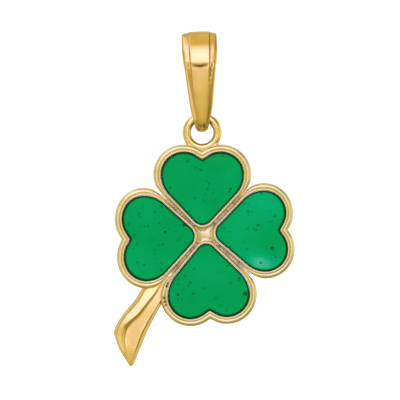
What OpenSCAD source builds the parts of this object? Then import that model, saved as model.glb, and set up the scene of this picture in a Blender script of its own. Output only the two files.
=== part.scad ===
// Four leaf clover pendant: a tapered bail through the ring of a cast clover
// frame with a pointed stem, and four heart-shaped fills of green enamel.
// The origin is the inside top of the bail, where a chain carries it.
// +Z is up, the front faces -Y, and every length is in millimetres.

/* [Bail] */
// Inside length of the bail, from the chain's seat to its inside bottom
bail_inside = 6.27; // [5:0.05:9]
// Width of the bail's strip at the top
bail_w = 2.62; // [2.2:0.02:3.4]
// Radius inside the arched top, where the chain sits
bail_top_r = 0.94; // [0.8:0.02:1.2]
// Radius inside the bulging sides below the arched top
bail_side_r = 2.48; // [2.2:0.02:2.8]
// Angle at which the arched top runs into the sides, in degrees above level
bail_arch = 40; // [34:1:46]
// Radius inside the bottom turn, where the ring hangs
bail_foot_r = 0.64; // [0.6:0.01:0.8]
// Thickness of the strip
bail_t = 0.62; // [0.35:0.01:0.8]
// How far the strip's side bevels fall below its middle panel
bail_bevel = 0.13; // [0.05:0.01:0.3]
// Width of the middle panel, as a share of the strip's
bail_panel = 0.6; // [0.4:0.05:0.8]

/* [Ring] */
// Radius of the ring, to the middle of its wire
ring_r = 1.15; // [1.1:0.01:1.5]
// Radius of the ring's wire
ring_wire_r = 0.31; // [0.2:0.01:0.34]
// Gap under the ring's wire where it hangs in the bail
ring_gap = 0.16; // [0.14:0.01:0.25]
// How deep the ring is soldered into the top leaf's notch
ring_sink = 0.13; // [0.08:0.01:0.3]
// Width of the soldered foot between the ring and the leaf
ring_foot_w = 2.45; // [1.8:0.05:2.6]
// Height of the soldered foot
ring_foot_h = 0.75; // [0.5:0.05:0.9]
// Thickness of the soldered foot
ring_foot_t = 0.6; // [0.4:0.05:0.8]

/* [Leaf] */
// Width of a leaf's enamel
leaf_w = 6.08; // [5.6:0.02:6.4]
// Distance from the clover's middle to the widest place of a leaf
leaf_wide_u = 4.46; // [4.3:0.02:4.7]
// Distance from the clover's middle to where a leaf's straight sides would meet
leaf_start_u = 0.31; // [0.2:0.01:0.4]
// Angle between a leaf's middle line and its straight side, in degrees
leaf_side_angle = 42.8; // [42:0.1:43.5]
// Radius of a leaf's inner point
leaf_tip_r = 0.82; // [0.5:0.01:1]
// Radius of the two round lobes at a leaf's outer end
leaf_lobe_r = 1.69; // [1.5:0.01:1.8]
// Slope of the lobes where they run down into the notch, in degrees
leaf_notch_slope = 32; // [26:0.5:34]
// Radius at the bottom of the notch
leaf_notch_r = 0.16; // [0.05:0.01:0.3]

/* [Frame] */
// Thickness of the rims, front to back
frame_t = 1.4; // [1:0.05:2]
// Width of a rim round the lobes
rim_w = 0.54; // [0.4:0.01:0.7]
// Width of a rim beside a leaf's inner point
rim_side_w = 0.14; // [0.1:0.01:0.2]
// How much a rim widens along a leaf's straight sides, in degrees
rim_spread = 1.6; // [0:0.1:2.5]
// Radius of a rim's outer corner at the clover's middle
rim_tip_r = 0.12; // [0.05:0.01:0.3]
// How far the web between the rims lies behind their crests
web_recess = 0.4; // [0.2:0.01:0.6]
// How far the web reaches from the clover's middle
web_r = 4.5; // [4.2:0.05:4.8]
// How far the web's back lies in front of the rims' back
web_back = 0.1; // [0.05:0.01:0.3]

/* [Enamel] */
// How far the enamel lies behind the rims' crests
enamel_recess = 0.28; // [0.1:0.01:0.5]
// How far the enamel's back lies in front of the rims' back
enamel_back = 0.12; // [0.05:0.01:0.4]
// Gap between the enamel and the rim's wall
enamel_gap = 0.02; // [0.01:0.01:0.05]

/* [Stem] */
// Length of the stem, from the groove between two leaves to its point
stem_l = 6.85; // [5.5:0.05:8]
// Width of the stem between its edges, at its widest place
stem_w = 2; // [1.4:0.05:2.4]
// How far each of the stem's sides spreads from its edge to its back
stem_spread = 0.14; // [0.02:0.01:0.2]
// Height of the stem's crest above its flat back
stem_t = 1.15; // [0.8:0.05:1.3]
// Sideways place of the stem's root, from the clover's middle
stem_root_x = -3.22; // [-3.4:0.02:-3.1]
// Upright place of the stem's root, from the clover's middle
stem_root_z = -3.42; // [-3.6:0.02:-3.3]
// Heading of the stem's straight right edge, in degrees
stem_heading = 246.5; // [243:0.5:250]
// How far the stem's back lies in front of the rims' back
stem_back = 0.15; // [0.05:0.01:0.3]

/* [Hidden] */

// Steps on each round stretch of a leaf's half outline
TIP_STEPS = 5;
SHOULDER_STEPS = 5;
LOBE_STEPS = 13;
NOTCH_STEPS = 3;
// Steps on the bail's round stretches and along each of its legs
SIDE_STEPS = 8;
TOP_STEPS = 12;
FOOT_STEPS = 16;
LEG_STEPS = 5;

// Leaves, each a little different as cast by hand: heading in degrees, shifts to the left
// of that line and out along it as shares of leaf_w, then length and width shares
LEAF_HEADING = 0;
LEAF_LEFT = 1;
LEAF_OUT = 2;
LEAF_LENGTH = 3;
LEAF_WIDTH = 4;
LEAVES = [
    [88.4, 0.0345, -0.003, 1.01, 1.027],
    [1.1, 0.008, 0.005, 0.99, 1.002],
    [271.7, -0.004, -0.008, 1.025, 1.015],
    [181.1, 0.009, 0.0125, 0.994, 1.057],
];

// Rim section: share of the rim's width from the inner wall, and share of its
// thickness above the back
RIM_OUT = 0;
RIM_UP = 1;
RIM_SECTION = [
    [0.00, 0.00],
    [0.00, 0.95],
    [0.10, 1.00],
    [0.30, 1.00],
    [0.45, 0.955],
    [0.70, 0.925],
    [0.90, 0.82],
    [1.00, 0.62],
    [1.00, 0.18],
    [0.84, 0.00],
];

// Bail widths: share of the whole height from the top, share of bail_w
BAIL_WIDTHS = [
    [0.00, 1.00],
    [0.19, 1.00],
    [0.30, 0.955],
    [0.36, 0.90],
    [0.48, 0.825],
    [0.66, 0.71],
    [0.75, 0.655],
    [0.81, 0.59],
    [0.86, 0.52],
    [0.92, 0.44],
    [0.965, 0.395],
    [1.00, 0.36],
];

// Stem sections: share of its length, then right edge, crest and left edge as
// shares of its width, the crest's height as a share of stem_t, and how much of
// stem_spread its sides take
STEM_ALONG = 0;
STEM_RIGHT = 1;
STEM_CREST = 2;
STEM_LEFT = 3;
STEM_HEIGHT = 4;
STEM_FLARE = 5;
STEM_SECTIONS = [
    [0.00, -0.07, 0.01, 0.10, 0.78, 1.0],
    [0.07, -0.16, 0.11, 0.48, 0.84, 1.0],
    [0.155, -0.20, 0.17, 0.60, 0.88, 1.0],
    [0.30, -0.15, 0.32, 0.69, 0.94, 1.0],
    [0.445, -0.09, 0.48, 0.85, 0.98, 1.0],
    [0.525, -0.07, 0.63, 0.93, 1.00, 1.0],
    [0.61, -0.05, 0.745, 0.985, 1.00, 1.0],
    [0.68, -0.05, 0.74, 1.00, 0.98, 1.0],
    [0.74, -0.05, 0.68, 0.96, 0.94, 1.0],
    [0.80, -0.04, 0.55, 0.79, 0.88, 1.0],
    [0.89, -0.04, 0.31, 0.50, 0.78, 1.0],
    [0.97, -0.04, 0.07, 0.14, 0.66, 0.8],
    [1.00, -0.03, 0.00, 0.03, 0.60, 0.5],
];
// Stem section shape: heights of the edges, bevels and hollow as shares of the
// crest's height, and the bevels' widths as shares of the faces they edge
STEM_EDGE_UP = 0.45;
STEM_BEVEL_UP = 0.72;
STEM_HOLLOW_UP = 0.80;
STEM_BEVEL_W = 0.16;
STEM_HOLLOW_AT = 0.62;

// Places that follow from the sizes
bail_top = bail_t;
bail_height = bail_inside + 2 * bail_t;
foot_z = bail_foot_r - bail_inside;
hinge_z = ring_gap + ring_wire_r - bail_inside;
ring_z = hinge_z - ring_r;
side_y = (bail_side_r - bail_top_r) * cos(bail_arch);
side_z = -bail_top_r - (bail_side_r - bail_top_r) * sin(bail_arch);
leg_run = norm([side_y, foot_z - side_z]);
leg_lean = atan2(side_z - foot_z, side_y) - acos((bail_side_r - bail_foot_r) / leg_run);
top_notch = LEAVES[0][LEAF_OUT] * leaf_w + LEAVES[0][LEAF_LENGTH] * notch_u(rim_w);
clover_z = ring_z - ring_r - ring_wire_r + ring_sink - top_notch;

// Points on an arc about a centre, without its last one
function arc(centre, r, from, to, steps) = [
    for (i = [0 : steps - 1])
        let (a = from + (to - from) * i / steps)
        centre + r * [cos(a), sin(a)]
];

// Height at which the lobes' slope meets the notch, off the middle line
function flank_v(out) = leaf_w / 2 - leaf_lobe_r - (leaf_lobe_r + out) * sin(leaf_notch_slope);

// Place of the notch's sharp corner before it is rounded
function notch_corner(out) =
    leaf_wide_u + (leaf_lobe_r + out) * cos(leaf_notch_slope) - flank_v(out) * tan(leaf_notch_slope);

// The notch's radius stays within the straight slope beside it
function notch_radius(out) = min(leaf_notch_r, 0.8 * flank_v(out) / sin(leaf_notch_slope));

// Lowest point of the rounded notch, from the clover's middle
function notch_u(out) =
    notch_corner(out) + notch_radius(out) * (1 / cos(leaf_notch_slope) - 1);

// Radius of a leaf's point: outwards it sharpens to the rim's corner
function tip_radius(side) =
    leaf_tip_r + (side < 0 ? side : (rim_tip_r - leaf_tip_r) * side / rim_side_w);

// Half of a leaf's outline from its point round to its notch, moved outwards by
// side beside the point and by lobe round the lobes
function half_leaf(side, lobe) =
    let (
        b = leaf_side_angle + rim_spread * max(side, 0) / rim_side_w,
        start = leaf_start_u - side / sin(b),
        half = leaf_w / 2 + lobe,
        tip_r = tip_radius(side),
        tip_u = start + tip_r / sin(b),
        shoulder_r = ((leaf_wide_u - start) * sin(b) - half * cos(b)) / (1 - cos(b)),
        lobe_r = leaf_lobe_r + lobe,
        turn_r = notch_radius(lobe),
        turn_u = notch_corner(lobe) + turn_r / cos(leaf_notch_slope)
    )
    concat(
        arc([tip_u, 0], tip_r, 180, 90 + b, TIP_STEPS),
        arc([leaf_wide_u, half - shoulder_r], shoulder_r, 90 + b, 90, SHOULDER_STEPS),
        arc([leaf_wide_u, half - lobe_r], lobe_r, 90, -leaf_notch_slope, LOBE_STEPS),
        [[leaf_wide_u, half - lobe_r] + lobe_r * [cos(leaf_notch_slope), -sin(leaf_notch_slope)]],
        arc([turn_u, 0], turn_r, 180 - leaf_notch_slope, 180, NOTCH_STEPS),
        [[turn_u - turn_r, 0]]
    );

// A leaf's whole outline, anticlockwise from its point
function leaf(side, lobe) =
    let (
        half = half_leaf(side, lobe),
        last = len(half) - 1
    )
    concat(
        [for (i = [0 : last]) [half[i][0], -half[i][1]]],
        [for (i = [last - 1 : -1 : 1]) half[i]]
    );

// Triangles between neighbouring rings of points; each ring has count points
function skin(rings, count, closed) = [
    for (r = [0 : rings - (closed ? 1 : 2)], i = [0 : count - 1])
        let (
            next = (r + 1) % rings,
            a = r * count + i,
            b = r * count + (i + 1) % count,
            c = next * count + (i + 1) % count,
            d = next * count + i
        )
        each [[a, b, c], [a, c, d]]
];

// A rim: the section is carried round the leaf's outline
module rim() {
    rings = [
        for (s = RIM_SECTION)
            [for (p = leaf(s[RIM_OUT] * rim_side_w, s[RIM_OUT] * rim_w)) [p[0], p[1], s[RIM_UP] * frame_t]]
    ];
    polyhedron(
        points = [for (ring = rings) each ring],
        faces = skin(len(rings), len(rings[0]), true),
        convexity = 8
    );
}

// Places its children, drawn flat with their back at zero, on the clover's back
module on_clover() {
    translate([0, frame_t / 2, clover_z])
        rotate([90, 0, 0])
            children();
}

// Places its children on leaf number i of the clover
module on_leaf(i) {
    on_clover()
        rotate([0, 0, LEAVES[i][LEAF_HEADING]])
            translate([LEAVES[i][LEAF_OUT] * leaf_w, LEAVES[i][LEAF_LEFT] * leaf_w, 0])
                scale([LEAVES[i][LEAF_LENGTH], LEAVES[i][LEAF_WIDTH], 1])
                    children();
}

// The web between the rims, cut away under the enamel
module web() {
    web_t = frame_t - web_recess - web_back;
    wall_share = 0.5;
    difference() {
        on_clover()
            translate([0, 0, web_back])
                cylinder(h = web_t, r = web_r, $fn = 96);
        for (i = [0 : len(LEAVES) - 1])
            on_leaf(i)
                linear_extrude(frame_t)
                    polygon(leaf(wall_share * rim_side_w, wall_share * rim_w));
    }
}

// The ring that hangs in the bail
module ring() {
    translate([0, 0, ring_z])
        rotate([90, 0, 0])
            rotate_extrude($fn = 96)
                translate([ring_r, 0])
                    circle(r = ring_wire_r, $fn = 48);
}

// The soldered foot between the ring and the top leaf's notch
module ring_foot() {
    foot_top = ring_z - ring_r - ring_wire_r + ring_foot_h;
    hole_r = ring_r - ring_wire_r / 2;
    difference() {
        translate([-ring_foot_w / 2, -ring_foot_t / 2, foot_top - ring_foot_h])
            cube([ring_foot_w, ring_foot_t, ring_foot_h]);
        translate([0, ring_foot_t, ring_z])
            rotate([90, 0, 0])
                cylinder(h = 2 * ring_foot_t, r = hole_r, $fn = 96);
    }
}

// One cross section of the stem: along, across, and height above its back
function stem_ring(row) =
    let (
        along = row[STEM_ALONG] * stem_l,
        right = row[STEM_RIGHT] * stem_w,
        crest = row[STEM_CREST] * stem_w,
        left = row[STEM_LEFT] * stem_w,
        up = row[STEM_HEIGHT] * stem_t,
        flare = row[STEM_FLARE] * stem_spread
    )
    [
        [along, right - flare, 0],
        [along, right, STEM_EDGE_UP * up],
        [along, right + STEM_BEVEL_W * (crest - right), STEM_BEVEL_UP * up],
        [along, right + STEM_HOLLOW_AT * (crest - right), STEM_HOLLOW_UP * up],
        [along, crest, up],
        [along, left - STEM_BEVEL_W * (left - crest), STEM_BEVEL_UP * up],
        [along, left, STEM_EDGE_UP * up],
        [along, left + flare, 0],
    ];

// The faceted, pointed stem
module stem() {
    rings = [for (row = STEM_SECTIONS) stem_ring(row)];
    count = len(rings[0]);
    last = (len(rings) - 1) * count;
    on_clover()
        translate([stem_root_x, stem_root_z, stem_back])
            rotate([0, 0, stem_heading])
                mirror([0, 1, 0])
                    polyhedron(
                        points = [for (ring = rings) each ring],
                        faces = concat(
                            skin(len(rings), count, false),
                            [[for (i = [count - 1 : -1 : 0]) i]],
                            [[for (i = [0 : count - 1]) last + i]]
                        ),
                        convexity = 4
                    );
}

// A bend of the bail's loop: angle of its normal, centre and inner radius at each step
function bend(from, to, centre, r, steps, skip = 0) =
    [for (i = [skip : steps - skip]) [from + (to - from) * i / steps, centre, r]];

// A straight leg: centre and radius slide from the side's to the foot's
function leg(angle, y, shares) = [
    for (s = shares)
        let (centre = [(1 - s) * y, (1 - s) * side_z + s * foot_z])
        [angle, centre, (1 - s) * bail_side_r + s * bail_foot_r]
];

// The bail's loop, from its back side over the top and round the foot
function bail_path() =
    let (down = [for (i = [1 : LEG_STEPS - 1]) i / LEG_STEPS])
    concat(
        bend(-leg_lean, bail_arch, [-side_y, side_z], bail_side_r, SIDE_STEPS),
        bend(bail_arch, 180 - bail_arch, [0, -bail_top_r], bail_top_r, TOP_STEPS, 1),
        bend(180 - bail_arch, 180 + leg_lean, [side_y, side_z], bail_side_r, SIDE_STEPS),
        leg(180 + leg_lean, side_y, down),
        bend(180 + leg_lean, 360 - leg_lean, [0, foot_z], bail_foot_r, FOOT_STEPS),
        leg(-leg_lean, -side_y, [for (s = down) 1 - s])
    );

// One cross section of the bail's strip
function bail_ring(step) =
    let (
        normal = [0, cos(step[0]), sin(step[0])],
        centre = [0, step[1][0], step[1][1]],
        inner = centre + step[2] * normal,
        outer = centre + (step[2] + bail_t) * normal,
        edge = outer - bail_bevel * normal,
        half = bail_w / 2 * lookup((bail_top - outer[2]) / bail_height, BAIL_WIDTHS),
        panel = bail_panel * half
    )
    [
        inner - [half, 0, 0],
        inner + [half, 0, 0],
        edge + [half, 0, 0],
        outer + [panel, 0, 0],
        outer - [panel, 0, 0],
        edge - [half, 0, 0],
    ];

module bail() {
    rings = [for (step = bail_path()) bail_ring(step)];
    color([0.86, 0.66, 0.28])
        polyhedron(
            points = [for (ring = rings) each ring],
            faces = skin(len(rings), len(rings[0]), true),
            convexity = 6
        );
}

module clover_frame() {
    color([0.9, 0.74, 0.42]) {
        web();
        ring();
        ring_foot();
        stem();
        for (i = [0 : len(LEAVES) - 1])
            on_leaf(i)
                rim();
    }
}

// The enamel that fills leaf number i
module enamel(i) {
    color([0.02, 0.62, 0.33])
        on_leaf(i)
            translate([0, 0, enamel_back])
                linear_extrude(frame_t - enamel_recess - enamel_back)
                    polygon(leaf(-enamel_gap, -enamel_gap));
}

module enamel_top() {
    enamel(0);
}

module enamel_right() {
    enamel(1);
}

module enamel_bottom() {
    enamel(2);
}

module enamel_left() {
    enamel(3);
}

bail();
clover_frame();
enamel_top();
enamel_right();
enamel_bottom();
enamel_left();
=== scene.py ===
import math

import bpy
import numpy as np
from mathutils import Matrix, Vector, noise


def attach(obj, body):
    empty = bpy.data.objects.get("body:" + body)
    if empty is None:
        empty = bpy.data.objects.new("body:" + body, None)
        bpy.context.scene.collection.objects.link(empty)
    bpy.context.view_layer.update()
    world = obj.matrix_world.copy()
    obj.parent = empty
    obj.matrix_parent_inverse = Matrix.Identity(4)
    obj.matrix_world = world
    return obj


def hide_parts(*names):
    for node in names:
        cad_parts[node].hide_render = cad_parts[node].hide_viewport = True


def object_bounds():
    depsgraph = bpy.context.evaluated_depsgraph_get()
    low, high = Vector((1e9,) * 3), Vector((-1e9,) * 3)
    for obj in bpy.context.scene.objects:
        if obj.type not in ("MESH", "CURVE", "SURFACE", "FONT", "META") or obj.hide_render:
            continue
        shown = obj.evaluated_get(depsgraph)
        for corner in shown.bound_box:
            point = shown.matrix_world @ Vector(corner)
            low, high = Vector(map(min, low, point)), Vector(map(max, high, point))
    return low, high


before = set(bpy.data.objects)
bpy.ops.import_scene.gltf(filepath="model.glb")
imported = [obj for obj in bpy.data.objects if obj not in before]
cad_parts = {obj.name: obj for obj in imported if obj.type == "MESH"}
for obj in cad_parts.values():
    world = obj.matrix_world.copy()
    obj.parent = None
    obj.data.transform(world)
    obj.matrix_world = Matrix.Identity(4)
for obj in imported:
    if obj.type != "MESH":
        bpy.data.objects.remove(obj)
CAD_LOW, CAD_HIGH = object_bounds()

# Camera
# The pendant hangs upright and the camera looks along +Y at its front, far enough away to
# flatten the perspective as a product lens does, and rolled a little as in the photograph.
MM = 0.001
VIEW_WIDTH = 30 * MM
VIEW_DISTANCE = 200 * MM
VIEW_X = -0.32 * MM
VIEW_Z = -12 * MM
VIEW_ROLL = math.radians(1.8)
SENSOR_MM = 36
CLIP_NEAR = 0.01
CLIP_FAR = 20


def add_object(name, data):
    """A new object in the scene."""
    made = bpy.data.objects.new(name, data)
    bpy.context.scene.collection.objects.link(made)
    return made


camera_data = bpy.data.cameras.new("camera")
camera_data.sensor_width = SENSOR_MM
camera_data.lens = SENSOR_MM * VIEW_DISTANCE / VIEW_WIDTH
camera_data.clip_start = CLIP_NEAR
camera_data.clip_end = CLIP_FAR
camera = add_object("camera", camera_data)
bpy.context.scene.camera = camera
view_right = Vector((math.cos(VIEW_ROLL), 0, -math.sin(VIEW_ROLL)))
view_up = Vector((math.sin(VIEW_ROLL), 0, math.cos(VIEW_ROLL)))
view_back = Vector((0, -1, 0))
camera.matrix_world = Matrix.Translation((VIEW_X, -VIEW_DISTANCE, VIEW_Z)) @ Matrix(
    (view_right, view_up, view_back)
).transposed().to_4x4()


# Studio
# A jeweller's light tent: pale cloth in front with a small dark slot where the lens looks in,
# a softbox above the camera with a soft glow round it, dimmer sides, small cards on the left
# and right, and a white sweep behind. The dim cloth is warm and the bright light cooler.
class Wire:
    """A socket of a node tree that takes part in Python expressions."""

    def __init__(self, board, socket):
        self.board = board
        self.socket = socket

    def _math(self, operation, first, second=0.0):
        settings = {"operation": operation}
        return self.board.node("ShaderNodeMath", settings, {0: first, 1: second})

    def __add__(self, other):
        return self._math("ADD", self, other)

    __radd__ = __add__

    def __sub__(self, other):
        return self._math("SUBTRACT", self, other)

    def __rsub__(self, other):
        return self._math("SUBTRACT", other, self)

    def __mul__(self, other):
        return self._math("MULTIPLY", self, other)

    __rmul__ = __mul__

    def __abs__(self):
        return self._math("ABSOLUTE", self)

    def step(self, low, high):
        """Rises softly from 0 at low to 1 at high."""
        settings = {"interpolation_type": "SMOOTHSTEP"}
        inputs = {"Value": self, "From Min": low, "From Max": high}
        return self.board.node("ShaderNodeMapRange", settings, inputs)

    def between(self, rise_from, rise_to, fall_from, fall_to):
        """Rises softly from 0 to 1, then falls softly back to 0."""
        return self.step(rise_from, rise_to) * (1 - self.step(fall_from, fall_to))

    def near(self, full_to, gone_by):
        """1 close to 0 on both sides of it, and 0 further off."""
        return 1 - abs(self).step(full_to, gone_by)


class Board:
    """Adds nodes to a tree: each with its settings first, then its sockets' values or wires."""

    def __init__(self, tree):
        self.tree = tree
        tree.nodes.clear()

    def node(self, kind, settings=None, inputs=None, out=0):
        made = self.tree.nodes.new(kind)
        for name, value in (settings or {}).items():
            setattr(made, name, value)
        for name, value in (inputs or {}).items():
            if isinstance(value, Wire):
                self.tree.links.new(value.socket, made.inputs[name])
            else:
                made.inputs[name].default_value = value
        return Wire(self, made.outputs[out]) if made.outputs else made

    def blend(self, share, low, high):
        """Mixes two colours: low where share is 0, high where it is 1."""
        settings = {"data_type": "RGBA", "clamp_factor": True}
        return self.node("ShaderNodeMix", settings, {0: share, 6: low, 7: high}, out=2)

    def along(self, vector, direction):
        """How far a vector points along a direction."""
        settings = {"operation": "DOT_PRODUCT"}
        return self.node("ShaderNodeVectorMath", settings, {0: vector, 1: direction}, out="Value")

    def noise(self, scales, detail):
        """Soft noise from about 0 to 1 through a piece, with a scale for each direction."""
        place = self.node("ShaderNodeTexCoord", out="Object")
        place = self.node("ShaderNodeMapping", {}, {"Vector": place, "Scale": scales})
        inputs = {"Vector": place, "Scale": 1, "Detail": detail}
        return self.node("ShaderNodeTexNoise", {}, inputs)

    def bump(self, height, distance):
        """The normal of a skin on which a height of 1 is this distance in metres."""
        inputs = {"Strength": 1.0, "Distance": distance, "Height": height}
        return self.node("ShaderNodeBump", {}, inputs)

    def stored(self, name):
        """A value that the mesh holds for each of its points."""
        return self.node("ShaderNodeAttribute", {"attribute_name": name}, out="Fac")

    def surface(self, sockets):
        """Ends a material's tree in a shader with these sockets."""
        shader = self.node("ShaderNodeBsdfPrincipled", {}, sockets)
        self.node("ShaderNodeOutputMaterial", {}, {"Surface": shader})


def new_material(name):
    """A material, and the board for its tree."""
    material = bpy.data.materials.new(name)
    material.use_nodes = True
    return material, Board(material.node_tree)


FLOOR_DROP = 6 * MM
FLOOR_SIZE = 3.0
FLOOR_PAINT = (0.88, 0.88, 0.88, 1)
FLOOR_GLOW = 1.0
SOFTBOX_TURN = math.radians(-5)
SOFTBOX_RISE = math.radians(28)
SOFTBOX_DISTANCE = 0.5
SOFTBOX_WIDTH = 0.466
SOFTBOX_HEIGHT = 0.36
SOFTBOX_BRIGHTNESS = 0.22
SOFTBOX_COLOUR = (1.0, 0.97, 3.0)
BRIGHTEST = 2.0
BLACK = (0, 0, 0, 1)
WARM = (1.0 * BRIGHTEST, 0.93 * BRIGHTEST, 0.68 * BRIGHTEST, 1)
COOL = tuple(c * BRIGHTEST for c in SOFTBOX_COLOUR) + (1,)
WHITE = (BRIGHTEST, BRIGHTEST, BRIGHTEST, 1)
BACKDROP = (1.06, 1.06, 1.06, 1)
# The lens's slot: how far it lies below level, how much it bends up at its ends, its darkness
SLOT_DROP = 0.032
SLOT_BOW = 14
SLOT_DARK = 0.96
# How bright the cloth in front is low down, what it gains towards level and loses above it,
# and what it loses low down beside its middle, low down further out and all along its edges
FRONT_LIGHT = 0.66
LEVEL_GAIN = 0.40
ABOVE_LOSS = 0.28
INNER_LOSS = 0.10
OUTER_LOSS = 0.20
EDGE_LOSS = 0.30
# How bright the tent's other parts are
SIDE_LIGHT = 0.34
RIGHT_GAIN = 0.55
LEFT_GAIN = 0.30
TOP_LIGHT = 0.72
BACK_LIGHT = 0.34
GLOW_LIGHT = 0.50
GLOW_LEFT = 0.08
LEFT_ABOVE_LIGHT = 0.45
RIGHT_CARD_LIGHT = 0.40
LEFT_CARD_LIGHT = 0.30
LOW_CARD_LIGHT = 0.60
LOW_CARD_WAY = (-0.675, -0.614, -0.409)
# What shines through the enamel: little from its sides, much from behind and in front
THROUGH_SIDES = 0.10
THROUGH_GAIN = 1.02

world = bpy.data.worlds.new("studio")
bpy.context.scene.world = world
world.use_nodes = True
board = Board(world.node_tree)
heading = board.node("ShaderNodeTexCoord", out="Generated")
to_front = board.along(heading, (0, -1, 0))
to_right = board.along(heading, (1, 0, 0))
to_top = board.along(heading, (0, 0, 1))
to_left = 0 - to_right
off_middle = abs(to_right)
# Each step below gives a cloth's or card's edges, as shares of the way to that direction
ahead = to_front.step(0.20, 0.78)
slot_up = to_top + SLOT_DROP - to_right * to_right * SLOT_BOW
slot = to_right.near(0.040, 0.105) * slot_up.near(0.045, 0.080)
up_to_level = FRONT_LIGHT + to_top.step(-0.53, -0.10) * LEVEL_GAIN
front_cloth = up_to_level - to_top.step(-0.10, 0.04) * ABOVE_LOSS
low_loss = off_middle.step(0.02, 0.12) * INNER_LOSS + off_middle.step(0.30, 0.45) * OUTER_LOSS
low_loss = low_loss * (1 - to_top.step(-0.20, -0.06))
right_card = to_right.between(0.06, 0.16, 0.34, 0.50) * to_top.between(-0.25, -0.08, 0.12, 0.30)
front_light = front_cloth - low_loss + right_card * RIGHT_CARD_LIGHT
front_light = front_light * (1 - off_middle.step(0.30, 0.62) * EDGE_LOSS)
front_light = front_light * (1 - slot * SLOT_DARK)
sides = SIDE_LIGHT + to_right.step(0.45, 0.90) * to_top.near(0.2, 0.6) * RIGHT_GAIN
sides = sides + to_left.step(0.30, 0.90) * LEFT_GAIN
overhead = to_top.step(0.72, 0.96)
level_light = sides * (1 - ahead) + front_light * ahead
tent = level_light * (1 - overhead) + overhead * TOP_LIGHT
glow_up = to_top.between(0.12, 0.18, 0.77, 0.93) * to_front.step(0.05, 0.35)
glow = glow_up * (to_right + GLOW_LEFT).near(0.36, 0.72) * GLOW_LIGHT
left_above = to_left.step(0.20, 0.42) * to_top.step(0.55, 0.85) * LEFT_ABOVE_LIGHT
low_card = board.along(heading, LOW_CARD_WAY).step(0.95, 0.985) * LOW_CARD_LIGHT
left_strip = to_left.between(0.40, 0.50, 0.66, 0.78) * ahead
left_card = left_strip * to_top.between(-0.16, -0.06, 0.15, 0.30) * LEFT_CARD_LIGHT
behind = (0 - to_front).step(0.35, 0.80) * BACK_LIGHT
tent_light = tent + glow + left_above + low_card + left_card + behind
through = THROUGH_SIDES + abs(to_front).step(0.30, 0.72) * THROUGH_GAIN
rays = "ShaderNodeLightPath"
passed = board.node(rays, out="Is Transmission Ray")
cloth = board.blend(tent_light.step(0.65, 1.5), WARM, COOL)
around = board.blend(tent_light * (1 / BRIGHTEST), BLACK, cloth)
beyond = board.blend(through * (1 / BRIGHTEST), BLACK, WHITE)
surroundings = board.blend(passed, around, beyond)
sky = board.blend(board.node(rays, out="Is Camera Ray"), surroundings, BACKDROP)
background = board.node("ShaderNodeBackground", {}, {"Color": sky, "Strength": 1.0})
board.node("ShaderNodeOutputWorld", {}, {"Surface": background})

lamp = bpy.data.lights.new("high softbox", "AREA")
lamp.shape = "RECTANGLE"
lamp.size = SOFTBOX_WIDTH
lamp.size_y = SOFTBOX_HEIGHT
lamp.color = SOFTBOX_COLOUR
lamp.energy = SOFTBOX_BRIGHTNESS * math.pi * SOFTBOX_WIDTH * SOFTBOX_HEIGHT
softbox = add_object("high softbox", lamp)
forward = math.cos(SOFTBOX_RISE)
way = Vector((math.sin(SOFTBOX_TURN) * forward, -math.cos(SOFTBOX_TURN) * forward, 0))
way.z = math.sin(SOFTBOX_RISE)
softbox.location = (CAD_LOW + CAD_HIGH) / 2 + way * SOFTBOX_DISTANCE
softbox.rotation_euler = way.to_track_quat("Z", "Y").to_euler()
softbox.visible_camera = False
softbox.visible_transmission = False

floor_mesh = bpy.data.meshes.new("floor")
floor_z = CAD_LOW.z - FLOOR_DROP
half = FLOOR_SIZE / 2
corners = [(half * x, half * y, floor_z) for x, y in ((-1, -1), (1, -1), (1, 1), (-1, 1))]
floor_mesh.from_pydata(corners, [], [(0, 1, 2, 3)])
floor = add_object("floor", floor_mesh)
floor.visible_glossy = False
floor.visible_transmission = False
floor.visible_shadow = False
floor_paint, board = new_material("white sweep")
board.surface(
    {
        "Base Color": FLOOR_PAINT,
        "Roughness": 1.0,
        "Specular IOR Level": 0.0,
        "Emission Color": (1, 1, 1, 1),
        "Emission Strength": FLOOR_GLOW,
    }
)
floor_mesh.materials.append(floor_paint)

bpy.context.scene.view_settings.view_transform = "Standard"

# Bail
# A strip of polished gold sheet, bent to a tapering loop with an arched eye and soldered shut
# at its foot. A panel runs down its middle between two bevels, nicked by wear at a few places.
BAIL_INSIDE = 6.27
BAIL_WIDTH = 2.62
EYE_RADIUS = 0.94
FLANK_RADIUS = 2.48
ARCH = math.radians(40)
LEG_LEAN = math.radians(7)
FOOT_RADIUS = 0.64
STRIP_THICK = 0.62
PANEL_SHARE = 0.57
PANEL_CROWN = 0.016
PANEL_LAST = 0.53
PANEL_POINTS = 12
# Widths of the strip: share of the bail's height from its top, share of its greatest width
STRIP_WIDTHS = (
    (0, 1), (0.19, 1), (0.30, 0.955), (0.36, 0.90), (0.48, 0.825), (0.66, 0.71),
    (0.75, 0.655), (0.81, 0.59), (0.86, 0.52), (0.92, 0.44), (0.965, 0.395), (1, 0.36),
)
FLANK_STEPS = 30
EYE_STEPS = 34
LEG_STEPS = 44
FOOT_STEPS = 48
LEAN_TRIES = 50
# Half of the strip's section: share of the half width, and depth below the panel's edge
STRIP_EDGE = (
    (0.545, 0.004), (PANEL_SHARE, 0.020), (0.595, 0.042), (0.615, 0.052), (0.65, 0.058),
    (0.70, 0.070), (0.76, 0.086), (0.82, 0.103), (0.88, 0.124), (0.93, 0.149),
    (0.97, 0.184), (0.992, 0.220), (1, 0.260), (1, 0.520), (0.99, 0.570),
    (0.96, 0.602), (0.91, 0.620), (0.50, 0.620), (0, 0.620),
)
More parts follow.
